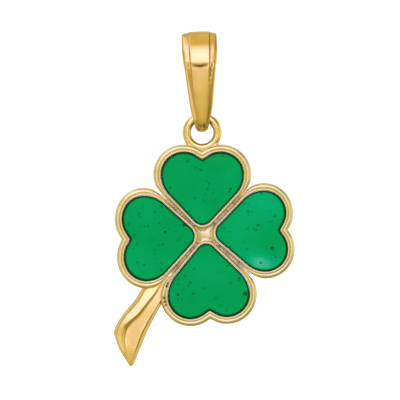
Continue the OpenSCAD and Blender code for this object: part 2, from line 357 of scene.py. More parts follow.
# Wear and the seam: place across and up in mm, reach across and up, depth
NICKS = (
    (0.92, -2.03, 0.045, 0.17, 0.030),
    (0.80, -2.42, 0.045, 0.26, 0.040),
    (0.74, -2.78, 0.045, 0.17, 0.034),
    (0.65, -3.17, 0.040, 0.17, 0.022),
    (-0.87, -2.00, 0.055, 0.07, 0.030),
    (0.17, -6.56, 0.085, 0.20, 0.034),
    (-0.27, -6.74, 0.075, 0.08, 0.040),
)
# Nicks reach only the points of the front that lie no deeper than this
NICKED_TO = 0.14
# Painted shade along the panel's edges, by their share of the half width and reach, and its
# strength; then the foot painted darker below this height, over this reach, by this much
EDGE_SHARE = 0.595
EDGE_REACH = 0.040
EDGE_SHADE = 0.60
DARK_FOOT_BELOW = -6.32
DARK_FOOT_REACH = 0.30
DARK_FOOT = 0.26
CREASE_ANGLE = math.radians(40)
# The gold's noise scales: uneven tone, fine polishing marks, long drawing lines
CLOUD_SCALES = (900, 900, 900)
MARK_SCALES = (9000, 9000, 1300)
LINE_SCALES = (3200, 3200, 160)
DEEP_TONE = 0.90
DARKENING_TINT = (0.20, 0.17, 0.12)
COAT = 0.1
COAT_ROUGHNESS = 0.06


def new_piece(name, vertices, faces, material, body):
    """A smooth mesh from vertices in mm, with creases where faces meet at a steep angle."""
    mesh = bpy.data.meshes.new(name)
    mesh.from_pydata([tuple(c * MM for c in v) for v in vertices], [], faces)
    mesh.validate()
    mesh.shade_smooth()
    mesh.set_sharp_from_angle(angle=CREASE_ANGLE)
    mesh.materials.append(material)
    piece = add_object(name, mesh)
    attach(piece, body)
    return piece


def loop_faces(rings, count):
    """Quads round a closed row of closed rings of points."""
    faces = []
    for r in range(rings):
        after = (r + 1) % rings
        for i in range(count):
            j = (i + 1) % count
            faces.append((r * count + i, after * count + i, after * count + j, r * count + j))
    return faces


def gold(name, colour, roughness, scratch):
    """Gold: a metal with faint polishing and drawing marks, uneven gloss and tone, and a
    brown darkening where the mesh's darkening attribute says so, partly painted shade."""
    material, board = new_material(name)
    cloud = board.noise(CLOUD_SCALES, 3)
    marks = board.noise(MARK_SCALES, 4)
    lines = board.noise(LINE_SCALES, 2)
    # The darkened colour is partly painted shade, as the mesh's darkening attribute gives it
    deep = tuple(c * DEEP_TONE for c in colour[:3]) + (1,)
    dull = tuple(c * tint for c, tint in zip(colour, DARKENING_TINT)) + (1,)
    clean = board.blend(cloud.step(0.3, 0.7), deep, colour)
    board.surface(
        {
            "Base Color": board.blend(board.stored("darkening"), clean, dull),
            "Metallic": 1.0,
            "Roughness": roughness + cloud * 0.05 + marks * 0.05,
            "Normal": board.bump(marks * 0.12 + lines + cloud * 1.5, scratch),
            "Coat Weight": COAT,
            "Coat Roughness": COAT_ROUGHNESS,
        }
    )
    return material


def clamp(value):
    """The value, kept between 0 and 1."""
    return min(max(value, 0.0), 1.0)


def way_out(angle):
    """The unit vector at an angle, as two numbers."""
    return np.array([math.cos(angle), math.sin(angle)])


def bail_turns():
    """The loop as arcs that run on into each other: first and last angle of the outward
    normal, centre in the YZ plane, inner radius and steps. Each leg is one very flat arc."""
    rise = FLANK_RADIUS - EYE_RADIUS
    flank = np.array([rise * math.cos(ARCH), -EYE_RADIUS - rise * math.sin(ARCH)])
    foot = np.array([0, FOOT_RADIUS - BAIL_INSIDE])
    half = math.pi
    knee = flank + FLANK_RADIUS * way_out(half + LEG_LEAN)
    ankle_lean = LEG_LEAN
    for _ in range(LEAN_TRIES):
        run = foot + FOOT_RADIUS * way_out(half + ankle_lean) - knee
        ankle_lean = 2 * math.atan2(run[0], -run[1]) - LEG_LEAN
    leg_radius = np.linalg.norm(run) / (2 * math.sin((ankle_lean - LEG_LEAN) / 2))
    leg = knee - leg_radius * way_out(half + LEG_LEAN)
    back = np.array([-1, 1])
    return [
        (-LEG_LEAN, ARCH, flank * back, FLANK_RADIUS, FLANK_STEPS),
        (ARCH, half - ARCH, np.array([0, -EYE_RADIUS]), EYE_RADIUS, EYE_STEPS),
        (half - ARCH, half + LEG_LEAN, flank, FLANK_RADIUS, FLANK_STEPS),
        (half + LEG_LEAN, half + ankle_lean, leg, leg_radius, LEG_STEPS),
        (half + ankle_lean, 2 * half - ankle_lean, foot, FOOT_RADIUS, FOOT_STEPS),
        (2 * half - ankle_lean, 2 * half - LEG_LEAN, leg * back, leg_radius, LEG_STEPS),
    ]


def strip_section():
    """The strip's closed section: share of the half width, and depth below the panel."""
    places = np.linspace(0, PANEL_LAST, PANEL_POINTS)
    panel = [(x, -PANEL_CROWN * (1 - (x / PANEL_SHARE) ** 2)) for x in places]
    half = panel + list(STRIP_EDGE)
    return half + [(-x, depth) for x, depth in half[-2:0:-1]]


def worn(spot, share, depth):
    """Depth of a point of the strip with the front's nicks cut in, and how much darker it is
    painted: painted shade in the panel's edges, and a darker foot and nicks.
    """
    # Painted shade along the panel's edges, then the foot painted darker below a height
    darkness = EDGE_SHADE * max(0.0, 1 - abs(abs(share) - EDGE_SHARE) / EDGE_REACH)
    darkness += DARK_FOOT * clamp((DARK_FOOT_BELOW - spot[2]) / DARK_FOOT_REACH)
    if spot[1] <= 0 and depth <= NICKED_TO:
        for across, up, reach_x, reach_z, cut in NICKS:
            away = ((spot[0] - across) / reach_x) ** 2 + ((spot[2] - up) / reach_z) ** 2
            mark = math.exp(-away * away)
            depth += cut * mark
            # Each nick is painted darker as well
            darkness = max(darkness, mark)
    return depth, min(darkness, 1.0)


def add_values(piece, name, values):
    """Gives a piece's points a value each, for its material to read."""
    attribute = piece.data.attributes.new(name, "FLOAT", "POINT")
    attribute.data.foreach_set("value", values)


def bail_mesh():
    """The strip's section at each step round the loop: vertices, faces and darkening."""
    section = strip_section()
    drops, shares = zip(*STRIP_WIDTHS)
    height = BAIL_INSIDE + 2 * STRIP_THICK
    vertices, darknesses = [], []
    rings = 0
    for start, end, centre, radius, steps in bail_turns():
        for i in range(steps):
            flat = way_out(start + (end - start) * i / steps)
            outward = np.array([0, flat[0], flat[1]])
            outer = np.array([0, centre[0], centre[1]]) + (radius + STRIP_THICK) * outward
            drop = (STRIP_THICK - outer[2]) / height
            half_width = BAIL_WIDTH / 2 * np.interp(drop, drops, shares)
            for share, depth in section:
                spot = outer + np.array([share * half_width, 0, 0])
                depth, darkness = worn(spot, share, depth)
                vertices.append(spot - depth * outward)
                darknesses.append(darkness)
            rings += 1
    return vertices, loop_faces(rings, len(section)), darknesses


bail_gold = gold("bail gold", (0.95, 0.625, 0.138, 1), roughness=0.06, scratch=1e-6)
vertices, faces, darknesses = bail_mesh()
bail_strip = new_piece("bail_strip", vertices, faces, bail_gold, "bail")
add_values(bail_strip, "darkening", darknesses)
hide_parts("bail")

# Rims
# Four cast heart-shaped rims hold the enamel. Each has a thin bright lip at its inner edge, a
# fine groove behind it and a rounded band that thins out beside the heart's point.
HINGE_Z = -5.80
RING_RADIUS = 1.15
WIRE_RADIUS = 0.31
RING_Z = HINGE_Z - RING_RADIUS
RING_SINK = 0.13
LEAF_WIDTH = 6.08
WIDE_U = 4.46
START_U = 0.31
SIDE_ANGLE = math.radians(42.8)
TIP_RADIUS = 0.82
LOBE_RADIUS = 1.69
NOTCH_SLOPE = math.radians(32)
NOTCH_RADIUS = 0.16
NOTCH_FIT = 0.8
FRAME_THICK = 1.4
RIM_WIDTH = 0.54
SIDE_RIM_WIDTH = 0.16
RIM_SPREAD = math.radians(1.6)
RIM_TIP_RADIUS = 0.12
# Leaves: heading, shifts left of it and out along it as shares of the leaf's width, then
# length and width shares; each differs a little, as cast by hand
LEAVES = {
    "right": (math.radians(1.1), 0.008, 0.005, 0.990, 1.002),
    "top": (math.radians(88.4), 0.0345, -0.003, 1.010, 1.027),
    "left": (math.radians(181.1), 0.009, 0.0125, 0.994, 1.057),
    "bottom": (math.radians(271.7), -0.004, -0.008, 1.025, 1.015),
}
TIP_STEPS = 20
SIDE_STEPS = 64
SHOULDER_STEPS = 22
LOBE_STEPS = 110
SLOPE_STEPS = 4
TURN_STEPS = 8


def slope_v(out):
    """How far off the middle line a lobe's arc ends, on an outline moved outwards by out."""
    return LEAF_WIDTH / 2 - LOBE_RADIUS - (LOBE_RADIUS + out) * math.sin(NOTCH_SLOPE)


def notch_corner(out):
    """How far along the middle line the notch's two slopes would meet."""
    reach = WIDE_U + (LOBE_RADIUS + out) * math.cos(NOTCH_SLOPE)
    return reach - slope_v(out) * math.tan(NOTCH_SLOPE)


def notch_radius(out):
    """The radius of the notch's rounded corner."""
    return min(NOTCH_RADIUS, NOTCH_FIT * slope_v(out) / math.sin(NOTCH_SLOPE))


def notch_u(out):
    """How far along the middle line the rounded notch lies."""
    return notch_corner(out) + notch_radius(out) * (1 / math.cos(NOTCH_SLOPE) - 1)


TOP_NOTCH = LEAVES["top"][2] * LEAF_WIDTH + LEAVES["top"][3] * notch_u(RIM_WIDTH)
CLOVER_Z = RING_Z - RING_RADIUS - WIRE_RADIUS + RING_SINK - TOP_NOTCH


def arc(centre_u, centre_v, radius, start, end, steps):
    """Points of an arc, without its last."""
    angles = start + (end - start) * np.arange(steps) / steps
    return np.stack([centre_u + radius * np.cos(angles), centre_v + radius * np.sin(angles)], 1)


def line(start, end, steps):
    """Points of a straight line, without its last."""
    share = np.arange(steps)[:, None] / steps
    return np.asarray(start) + share * (np.asarray(end) - np.asarray(start))


def half_leaf(side, lobe, spread=0.0):
    """Half of a leaf's outline, from its point round to its notch. side moves it outwards along
    the straight side, lobe round the lobes; spread sharpens its point and widens its side."""
    lean = SIDE_ANGLE + RIM_SPREAD * spread
    sine, cosine = math.sin(lean), math.cos(lean)
    quarter = math.pi / 2
    start = START_U - side / sine
    half = LEAF_WIDTH / 2 + lobe
    tip_r = (TIP_RADIUS + side) * (1 - spread) + RIM_TIP_RADIUS * spread
    tip_u = start + tip_r / sine
    shoulder_r = ((WIDE_U - start) * sine - half * cosine) / (1 - cosine)
    lobe_r = LOBE_RADIUS + lobe
    turn_r = notch_radius(lobe)
    turn_u = notch_corner(lobe) + turn_r / math.cos(NOTCH_SLOPE)
    side_from = (tip_u - tip_r * sine, tip_r * cosine)
    side_to = (WIDE_U - shoulder_r * sine, half - shoulder_r + shoulder_r * cosine)
    slope_from = (
        WIDE_U + lobe_r * math.cos(NOTCH_SLOPE),
        half - lobe_r - lobe_r * math.sin(NOTCH_SLOPE),
    )
    slope_to = (turn_u - turn_r * math.cos(NOTCH_SLOPE), turn_r * math.sin(NOTCH_SLOPE))
    return np.concatenate(
        [
            arc(tip_u, 0, tip_r, math.pi, quarter + lean, TIP_STEPS),
            line(side_from, side_to, SIDE_STEPS),
            arc(WIDE_U, half - shoulder_r, shoulder_r, quarter + lean, quarter, SHOULDER_STEPS),
            arc(WIDE_U, half - lobe_r, lobe_r, quarter, -NOTCH_SLOPE, LOBE_STEPS),
            line(slope_from, slope_to, SLOPE_STEPS),
            arc(turn_u, 0, turn_r, math.pi - NOTCH_SLOPE, math.pi, TURN_STEPS),
            [(turn_u - turn_r, 0)],
        ]
    )


def mirrored(half, flip):
    """A whole closed row from its half, the half's ends standing on the middle line."""
    return np.concatenate([half * flip, half[-2:0:-1]])


def leaf_outline(side, lobe, spread=0.0):
    """A leaf's whole closed outline, with half_leaf's measures."""
    return mirrored(half_leaf(side, lobe, spread), np.array([1, -1]))


def lobe_share():
    """How much each outline point belongs to the lobes: 0 along the sides, 1 round the lobes."""
    half = np.concatenate(
        [
            np.zeros(TIP_STEPS + SIDE_STEPS // 2),
            np.linspace(0, 1, SIDE_STEPS - SIDE_STEPS // 2 + SHOULDER_STEPS),
            np.ones(LOBE_STEPS + SLOPE_STEPS + TURN_STEPS + 1),
        ]
    )
    return mirrored(half * half * (3 - 2 * half), 1)


def on_leaf(name, flat, height):
    """Places points of a leaf's own plane on the clover; height is above the frame's back."""
    heading, left, out, length, width = LEAVES[name]
    along = np.array([math.cos(heading), math.sin(heading)])
    across = np.array([-along[1], along[0]])
    flat = np.asarray(flat)
    spot = (flat[:, :1] * length + out * LEAF_WIDTH) * along
    spot = spot + (flat[:, 1:2] * width + left * LEAF_WIDTH) * across
    rise = np.broadcast_to(height, len(flat))
    return np.stack([spot[:, 0], FRAME_THICK / 2 - rise, spot[:, 1] + CLOVER_Z], 1)


LIP_WIDTH = 0.14
LIP_RADIUS = LIP_WIDTH / 2
LIP_STEPS = 8
# Heights of the rows up the rim's inner wall, and how far off it the last row at the back is
WALL_RISES = (0.03, 0.4, 0.8, 1.15)
RIM_FOOT = 0.03
# Rim section behind the lip: share of the band, height round the lobes, height at the sides
BAND = (
    (0.02, 1.335, 1.285),
    (0.07, 1.305, 1.235),
    (0.14, 1.322, 1.205),
    (0.22, 1.345, 1.185),
    (0.34, 1.356, 1.160),
    (0.48, 1.350, 1.130),
    (0.62, 1.318, 1.100),
    (0.74, 1.268, 1.070),
    (0.84, 1.205, 1.030),
    (0.92, 1.120, 0.980),
    (0.975, 1.020, 0.920),
    (1.00, 0.900, 0.850),
    (1.00, 0.620, 0.600),
    (1.00, 0.340, 0.340),
    (0.99, 0.200, 0.200),
    (0.96, 0.110, 0.110),
    (0.90, 0.045, 0.045),
    (0.80, 0.008, 0.008),
    (0.66, 0.000, 0.000),
)
# Casting pits in the rims: place across and up from the clover's middle, reach and depth
PITS = (
    (-2.92, -3.58, 0.080, 0.070),
    (-3.00, -3.77, 0.090, 0.080),
    (-3.23, -4.68, 0.100, 0.090),
    (-3.17, -4.95, 0.095, 0.080),
    (-3.11, -5.21, 0.080, 0.060),
    (2.52, -3.15, 0.070, 0.050),
    (2.62, -3.42, 0.075, 0.060),
    (2.70, -3.70, 0.070, 0.050),
)
# Pits reach only the rows of the rim that stand higher than this
PITS_ABOVE = 1.0
# How much darker the rim is painted: in the groove, whose middle is given as a share of the
# band, with its reach and strength; on the lip's flanks; and on the inner wall, as painted
# shade. All of it comes and goes along the rim in patches, with this mean and swing
GROOVE_SHARE = 0.07
GROOVE_REACH = 0.10
GROOVE_DARKENING = 0.4
LIP_DARKENING = 0.10
RIM_WALL_SHADE = 0.8
PATCH_SIZE = 1.6
PATCH_MEAN = 0.6
PATCH_SWING = 0.8
PATCH_SEED = 4.3


def rim_rows():
    """Rows of the rim's section: width in mm, share of the band, its two heights, and how much
    darker it is painted.
    """
    rows = [(0, 0, rise, rise, RIM_WALL_SHADE) for rise in WALL_RISES]
    top = FRAME_THICK - LIP_RADIUS
    for i in range(LIP_STEPS + 1):
        angle = math.pi * (1 - i / LIP_STEPS)
        rise = top + LIP_RADIUS * math.sin(angle)
        darkening = LIP_DARKENING * math.cos(angle) ** 2
        rows.append((LIP_RADIUS * (1 + math.cos(angle)), 0, rise, rise, darkening))
    for share, lobe, side in BAND:
        darkening = GROOVE_DARKENING * max(0.0, 1 - abs(share - GROOVE_SHARE) / GROOVE_REACH)
        rows.append((LIP_WIDTH, share, lobe, side, darkening))
    rows.append((RIM_FOOT, 0, 0, 0, 0.0))
    return rows


def grain(points, size, seed):
    """Smooth noise from -1 to 1 at points in mm, with grains about size across."""
    return np.array([noise.noise(Vector((u / size, v / size, seed))) for u, v in points])


def rim_mesh(name):
    """A leaf's rim, each row of its section run round the outline: its mesh and darkening, with
    painted shade on the inner wall and darker pits.
    """
    lobes = lobe_share()
    rings, darkenings = [], []
    for width, share, lobe_height, side_height, darkening in rim_rows():
        side = width + share * (SIDE_RIM_WIDTH - LIP_WIDTH)
        lobe = width + share * (RIM_WIDTH - LIP_WIDTH)
        height = side_height + (lobe_height - side_height) * lobes
        ring = on_leaf(name, leaf_outline(side, lobe, share), height)
        patches = PATCH_MEAN + PATCH_SWING * grain(ring[:, ::2], PATCH_SIZE, PATCH_SEED)
        # How much darker each row is painted, with painted shade on the inner wall, in patches
        darkness = darkening * np.clip(patches, 0, 1)
        for across, up, reach, cut in PITS:
            away = (ring[:, 0] - across) ** 2 + (ring[:, 2] - CLOVER_Z - up) ** 2
            pit = (height > PITS_ABOVE) * np.exp(-((away / reach**2) ** 2))
            ring[:, 1] += cut * pit
            # Each pit is painted dark in its hollow
            darkness = np.maximum(darkness, pit)
        rings.append(ring)
        darkenings.append(darkness)
    faces = loop_faces(len(rings), len(rings[0]))
    return np.concatenate(rings), faces, np.concatenate(darkenings)


frame_gold = gold("frame gold", (0.94, 0.795, 0.27, 1), roughness=0.32, scratch=8e-7)
for name in LEAVES:
    vertices, faces, darkenings = rim_mesh(name)
    rim = new_piece("rim_" + name, vertices, faces, frame_gold, "clover")
    add_values(rim, "darkening", darkenings)
    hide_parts("clover_frame")

# Web
# The casting's floor between the rims: a lower, dull cross whose sandy skin kept the mould's
# grain and ribs because no polishing wheel reaches into the grooves.
WEB_RISE = 1.0
WEB_BACK = 0.1
WEB_REACH = 4.5
STEM_ARM_REACH = 5.0
STEM_ARM = ("left", "bottom")
WEB_UNDER_SIDE = 0.07
WEB_UNDER_LOBE = 0.20
WEB_SPREAD = 0.5
ARM_STEPS = 120
ARM_ACROSS = 14
# The sand's skin: its greatest height, then shares, grain sizes and seeds of its noises
GRAIN = 0.035
SAND = ((0.6, 0.16, 3.1), (0.4, 0.07, 8.6), (0.5, 0.7, 5.2))
# The mould's ribs: pitch, share of the grain's height, and size and seed of their patches
RIB_PITCH = 0.20
RIB_SHARE = 0.6
RIB_PATCH = 1.1
RIB_SEED = 7.7
# The middle, where the four points meet, and the arms' ends, where two rims meet, stand
# higher and took some polish
POLISH_RISE = 0.12
MIDDLE_REACH = 0.60
ENDS_FROM = 3.5
ENDS_REACH = 0.6
ENDS_POLISH = 0.85
POLISHED_GOLD = (0.86, 0.70, 0.23, 1)
SANDY_GOLD = (0.62, 0.51, 0.225, 1)
PORE_BROWN = (0.22, 0.170, 0.07, 1)


def arm_edge(name, side, arm_reach):
    """The edge of a web arm: one half of a leaf's outline, cut off at the arm's reach."""
    half = half_leaf(WEB_UNDER_SIDE, WEB_UNDER_LOBE, WEB_SPREAD) * np.array([1, side])
    spots = on_leaf(name, half, 0)[:, ::2] - np.array([0, CLOVER_Z])
    reach = np.linalg.norm(spots, axis=1)
    last = int(np.argmax(reach > arm_reach))
    share = (arm_reach - reach[last - 1]) / (reach[last] - reach[last - 1])
    end = spots[last - 1] + share * (spots[last] - spots[last - 1])
    spots = np.concatenate([spots[:last], [end]])
    run = np.concatenate([[0], np.cumsum(np.linalg.norm(np.diff(spots, axis=0), axis=1))])
    steps = np.linspace(0, run[-1], ARM_STEPS + 1)
    return np.stack([np.interp(steps, run, spots[:, 0]), np.interp(steps, run, spots[:, 1])], 1)


def grid_faces(first, rows, columns):
    """Quads of a sheet of points that stand in rows, counted from its first point."""
    faces = []
    for r in range(rows - 1):
        for c in range(columns - 1):
            a = first + r * columns + c
            faces.append((a, a + 1, a + columns + 1, a + columns))
    return faces


def web_sheet():
    """The cross as flat points with faces: four arms and the patch where they meet."""
    names = list(LEAVES)
    across = np.linspace(0, 1, ARM_ACROSS + 1)[:, None]
    sheets, faces, corners = [], [], []
    for i, name in enumerate(names):
        after = names[(i + 1) % len(names)]
        arm_reach = STEM_ARM_REACH if (name, after) == STEM_ARM else WEB_REACH
        low = arm_edge(name, 1, arm_reach)
        high = arm_edge(after, -1, arm_reach)
        faces += grid_faces(sum(len(s) for s in sheets), ARM_STEPS + 1, ARM_ACROSS + 1)
        sheets.append(np.concatenate([a + across * (b - a) for a, b in zip(low, high)]))
        corners.append(low[0])
    faces += grid_faces(sum(len(s) for s in sheets), ARM_ACROSS + 1, ARM_ACROSS + 1)
    for r in across:
        left = corners[0] + r * (corners[3] - corners[0])
        right = corners[1] + r * (corners[2] - corners[1])
        sheets.append(left + across * (right - left))
    return merged(np.concatenate(sheets), faces)


def merged(points, faces):
    """Joins points that coincide and turns every face anticlockwise."""
    _, first, which = np.unique(
        np.round(points, 5), axis=0, return_index=True, return_inverse=True
    )
    which = which.ravel()
    points = points[first]
    turned = []
    for face in faces:
        ring = [int(which[i]) for i in face]
        u, v = points[ring].T
        area = np.dot(u, np.roll(v, -1)) - np.dot(v, np.roll(u, -1))
        turned.append(ring if area > 0 else ring[::-1])
    return points, turned


def plate_faces(faces, count):
    """Faces of a closed plate from its flat sheet: front and back skins and the wall."""
    edges = {(f[i - 1], f[i]) for f in faces for i in range(len(f))}
    walls = [(b, a, a + count, b + count) for a, b in edges if (b, a) not in edges]
    backs = [tuple(i + count for i in reversed(face)) for face in faces]
    return [tuple(face) for face in faces] + backs + sorted(walls)


def sandy_gold(name):
    """Unpolished cast gold: rough, mottled and a little brown in its pores, but smooth and
    bright where the mesh's polish attribute says so."""
    material, board = new_material(name)
    cloud = board.noise((3500, 3500, 3500), 4)
    sand = board.noise((16000, 16000, 16000), 3)
    pores = (cloud * 0.6 + sand * 0.4).step(0.36, 0.56)
    polish = board.stored("polish")
    rough_gold = board.blend(pores, PORE_BROWN, SANDY_GOLD)
    board.surface(
        {
            "Base Color": board.blend(polish, rough_gold, POLISHED_GOLD),
            "Metallic": 1.0,
            "Roughness": 0.50 - pores * 0.14 - polish * 0.16,
            "Normal": board.bump(sand + cloud, 8e-6),
        }
    )
    return material


web_gold = sandy_gold("web gold")
flat, sheet_faces = web_sheet()
sand = sum(share * grain(flat, size, seed) for share, size, seed in SAND)
out = np.linalg.norm(flat, axis=1)
ribs = np.sin(out * 2 * math.pi / RIB_PITCH) * grain(flat, RIB_PATCH, RIB_SEED)
ends = np.clip((out - ENDS_FROM) / ENDS_REACH, 0, 1)
polish = np.maximum(np.exp(-((out / MIDDLE_REACH) ** 2)), ENDS_POLISH * ends)
front = WEB_RISE + GRAIN * (1 - polish) * (sand + RIB_SHARE * ribs) + POLISH_RISE * polish
rise = np.concatenate([front, np.full(len(flat), WEB_BACK)])
spots = np.concatenate([flat, flat])
vertices = np.stack([spots[:, 0], FRAME_THICK / 2 - rise, spots[:, 1] + CLOVER_Z], 1)
faces = plate_faces(sheet_faces, len(flat))
web = new_piece("web", vertices, faces, web_gold, "clover")
add_values(web, "polish", np.concatenate([polish, polish]))
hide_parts("clover_frame")

# Ring
# A closed ring of round gold wire that hangs in the bail's foot. A saddle of solder fills the
# corner between it and the top leaf's notch, with a small hollow left at its middle.
RING_STEPS = 120
WIRE_STEPS = 28
SADDLE_HALF = 1.21
SADDLE_THICK = 0.30
SADDLE_STEPS = 56
SADDLE_ROUND = 28
SADDLE_SINK = 0.30
SADDLE_OVERLAP = 0.02
HOLLOW_WIDE = 0.30
HOLLOW_TALL = 0.09
HOLLOW_DEEP = 0.07
HOLLOW_X = 0.05
HOLLOW_Z = -8.28
# Painted shade on the inside of the ring: from which share of the wire's radius inwards, and how
# much
RING_SHADE_FROM = 0.62
RING_INNER_SHADE = 0.5


class GrowingBoard(Board):
    """A board for a Geometry Nodes tree with named inputs and one geometry output."""

    def __init__(self, name, inputs):
        super().__init__(bpy.data.node_groups.new(name, "GeometryNodeTree"))
        sockets = self.tree.interface
        for label, kind in inputs.items():
            sockets.new_socket(label, in_out="INPUT", socket_type="NodeSocket" + kind)
        sockets.new_socket("Geometry", in_out="OUTPUT", socket_type="NodeSocketGeometry")

    def given(self, label):
        """One of the tree's inputs."""
        return self.node("NodeGroupInput", out=label)

    def finish(self, geometry, material):
        """Ends the tree: real geometry in its material."""
        real = self.node("GeometryNodeRealizeInstances", {}, {"Geometry": geometry})
        inputs = {"Geometry": real, "Material": material}
        painted = self.node("GeometryNodeSetMaterial", {}, inputs)
        self.node("NodeGroupOutput", {}, {"Geometry": painted})


def grown(tree, base, values):
    """Runs a tree on a mesh with values for its named inputs; gives back the plain mesh."""
    carrier = add_object("carrier", base)
    modifier = carrier.modifiers.new("grow", "NODES")
    modifier.node_group = tree
    for item in tree.interface.items_tree:
        if item.in_out == "INPUT" and item.name in values:
            modifier[item.identifier] = values[item.name]
    ready = bpy.context.evaluated_depsgraph_get()
    mesh = bpy.data.meshes.new_from_object(carrier.evaluated_get(ready))
    carrier.modifiers.remove(modifier)
    bpy.data.objects.remove(carrier)
    points = np.empty(len(mesh.vertices) * 3)
    mesh.vertices.foreach_get("co", points)
    return points.reshape(-1, 3) / MM, [tuple(face.vertices) for face in mesh.polygons]


ring_gold = gold("ring gold", (0.96, 0.725, 0.185, 1), roughness=0.10, scratch=8e-7)
board = GrowingBoard(
    "wire ring", {"Ring radius": "Float", "Wire radius": "Float", "Middle": "Vector"}
)
circle = "GeometryNodeCurvePrimitiveCircle"
path = board.node(circle, {}, {"Resolution": RING_STEPS, "Radius": board.given("Ring radius")})
wire = board.node(circle, {}, {"Resolution": WIRE_STEPS, "Radius": board.given("Wire radius")})
tube = board.node("GeometryNodeCurveToMesh", {}, {"Curve": path, "Profile Curve": wire})
upright = board.node(
    "GeometryNodeTransform",
    {},
    {"Geometry": tube, "Translation": board.given("Middle"), "Rotation": (math.pi / 2, 0, 0)},
)
board.finish(upright, ring_gold)


def outwards(points, faces):
    """The faces of a closed shape, all turned round if they point inwards."""
    points = np.asarray(points)
    volume = 0.0
    for face in faces:
        for i in range(1, len(face) - 1):
            a, b, c = points[[face[0], face[i], face[i + 1]]]
            volume += np.dot(a, np.cross(b, c))
    return faces if volume > 0 else [tuple(reversed(face)) for face in faces]


vertices, faces = grown(
    board.tree,
    bpy.data.meshes.new("ring start"),
    {
        "Ring radius": RING_RADIUS * MM,
        "Wire radius": WIRE_RADIUS * MM,
        "Middle": (0, 0, RING_Z * MM),
    },
)
faces = outwards(vertices, faces)
ring = new_piece("ring", vertices, faces, ring_gold, "clover")
# Painted shade on the inside of the ring, darkest at its inner edge
from_hole = np.hypot(vertices[:, 0], vertices[:, 2] - RING_Z)
inward = (RING_RADIUS - from_hole) / WIRE_RADIUS
darkness = np.clip((inward - RING_SHADE_FROM) / (1 - RING_SHADE_FROM), 0, 1)
add_values(ring, "darkening", RING_INNER_SHADE * darkness)
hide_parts("clover_frame")


def bar_faces(vertices, count):
    """Outward faces of a bar: round its rings of points, and one flat face at each end."""
    last = len(vertices) - count
    faces = loop_faces(len(vertices) // count, count)[:last]
    faces.append(tuple(range(count)))
    faces.append(tuple(last + k for k in reversed(range(count))))
    return outwards(vertices, faces)


def saddle_mesh():
    """The solder: at each place across, a rounded section from the wire down into the rim."""
    vertices = []
    for i in range(SADDLE_STEPS + 1):
        share = i / SADDLE_STEPS * 2 - 1
        x = SADDLE_HALF * share
        swell = (1 - abs(share) ** 8) ** 0.5
        high = RING_Z - math.sqrt(max(RING_RADIUS**2 - x * x, 0.0)) + SADDLE_OVERLAP
        low = RING_Z - RING_RADIUS - WIRE_RADIUS - SADDLE_SINK * (1 - 0.9 * abs(share))
        middle, reach = (high + low) / 2, (high - low) / 2
        for k in range(SADDLE_ROUND):
            angle = 2 * math.pi * k / SADDLE_ROUND
            sine, cosine = math.sin(angle), math.cos(angle)
            z = middle + reach * math.copysign(abs(sine) ** 0.8, sine)
            y = -SADDLE_THICK * math.copysign(abs(cosine) ** 0.7, cosine) * (0.25 + 0.75 * swell)
            away = ((x - HOLLOW_X) / HOLLOW_WIDE) ** 4 + ((z - HOLLOW_Z) / HOLLOW_TALL) ** 4
            if y < 0:
                y += HOLLOW_DEEP * math.exp(-away)
            vertices.append((x, y, z))
    return vertices, bar_faces(vertices, SADDLE_ROUND)


vertices, faces = saddle_mesh()
saddle = new_piece("ring_solder", vertices, faces, ring_gold, "clover")
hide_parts("clover_frame")

# Stem
# A solid pointed stem, cast with the frame: a crest curves down it between a narrow bright
# left face and a broad, hollowed right face, with a bevel along each edge.
STEM_LENGTH = 6.85
STEM_WIDTH = 2.0
STEM_THICK = 1.15
STEM_ROOT = (-3.22, -3.42)
STEM_HEADING = math.radians(246.5)
STEM_BACK = 0.15
STEM_SPREAD = 0.14
STEM_EDGE_UP = 0.42
# Stem sections: share of its length, then right edge, crest and left edge as shares of its
# width, the crest's height as a share of the thickness, how deep the hollow is cut, and
# how much of the spread its sides take
STEM_SECTIONS = (
    (0.00, -0.07, 0.01, 0.10, 0.78, 0.0, 1.0),
    (0.07, -0.16, 0.11, 0.48, 0.84, 0.15, 1.0),
    (0.155, -0.20, 0.17, 0.60, 0.88, 0.3, 1.0),
    (0.30, -0.15, 0.32, 0.69, 0.94, 0.55, 1.0),
    (0.445, -0.09, 0.48, 0.85, 0.98, 0.85, 1.0),
    (0.525, -0.07, 0.63, 0.93, 1.00, 1.0, 1.0),
    (0.61, -0.05, 0.745, 0.985, 1.00, 1.0, 1.0),
    (0.68, -0.05, 0.74, 1.00, 0.98, 0.95, 1.0),
    (0.74, -0.05, 0.68, 0.96, 0.94, 0.8, 1.0),
    (0.80, -0.04, 0.55, 0.79, 0.88, 0.5, 1.0),
    (0.89, -0.04, 0.31, 0.50, 0.78, 0.3, 1.0),
    (0.97, -0.04, 0.07, 0.14, 0.66, 0.1, 0.8),
    (1.00, -0.03, 0.00, 0.03, 0.60, 0.0, 0.5),
)
STEM_STEPS = 120
# Where the left face is narrower than this share of the stem's width it drops less, down to
# this share of its full drop. Over this reach below this height it gets all its drop back
LEFT_FACE = 0.37
LEFT_LEAST_DROP = 0.85
FIRM_FROM = 0.82
FIRM_REACH = 0.4
